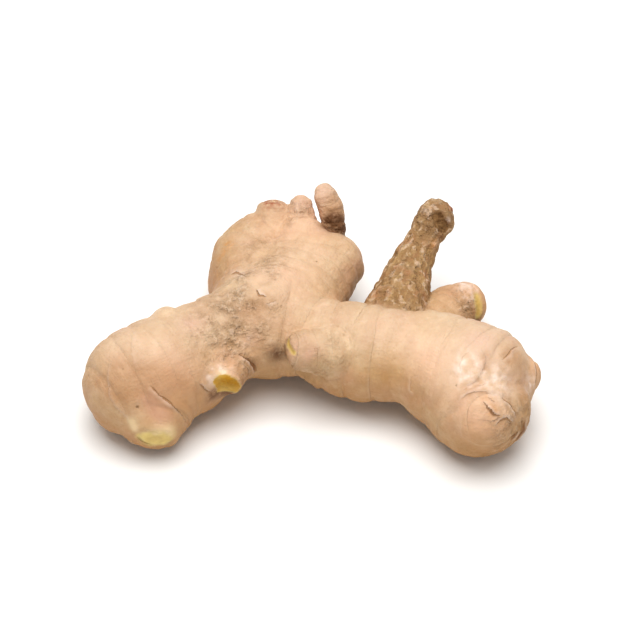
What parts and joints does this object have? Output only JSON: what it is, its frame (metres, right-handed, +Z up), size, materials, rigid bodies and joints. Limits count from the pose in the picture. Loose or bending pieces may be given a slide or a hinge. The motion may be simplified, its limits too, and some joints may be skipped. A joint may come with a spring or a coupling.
{
  "type": "ginger root",
  "caption": "Whole fresh ginger root: a branching hand of stout, ringed, pale brown fingers with buds and cut stubs, lying on its side.",
  "frame": {"origin": "on the table, at the middle of the box that the hand fills", "axes": "+X along the hand from the stout left finger to the right lobe, -Y towards the front with the cut stub, +Z up from the table"},
  "size_m": [0.1461, 0.1032, 0.0401],
  "materials": {
    "skin": null
  },
  "bodies": {
    "root": {"ginger_root": "skin"}
  },
  "joints": []
}
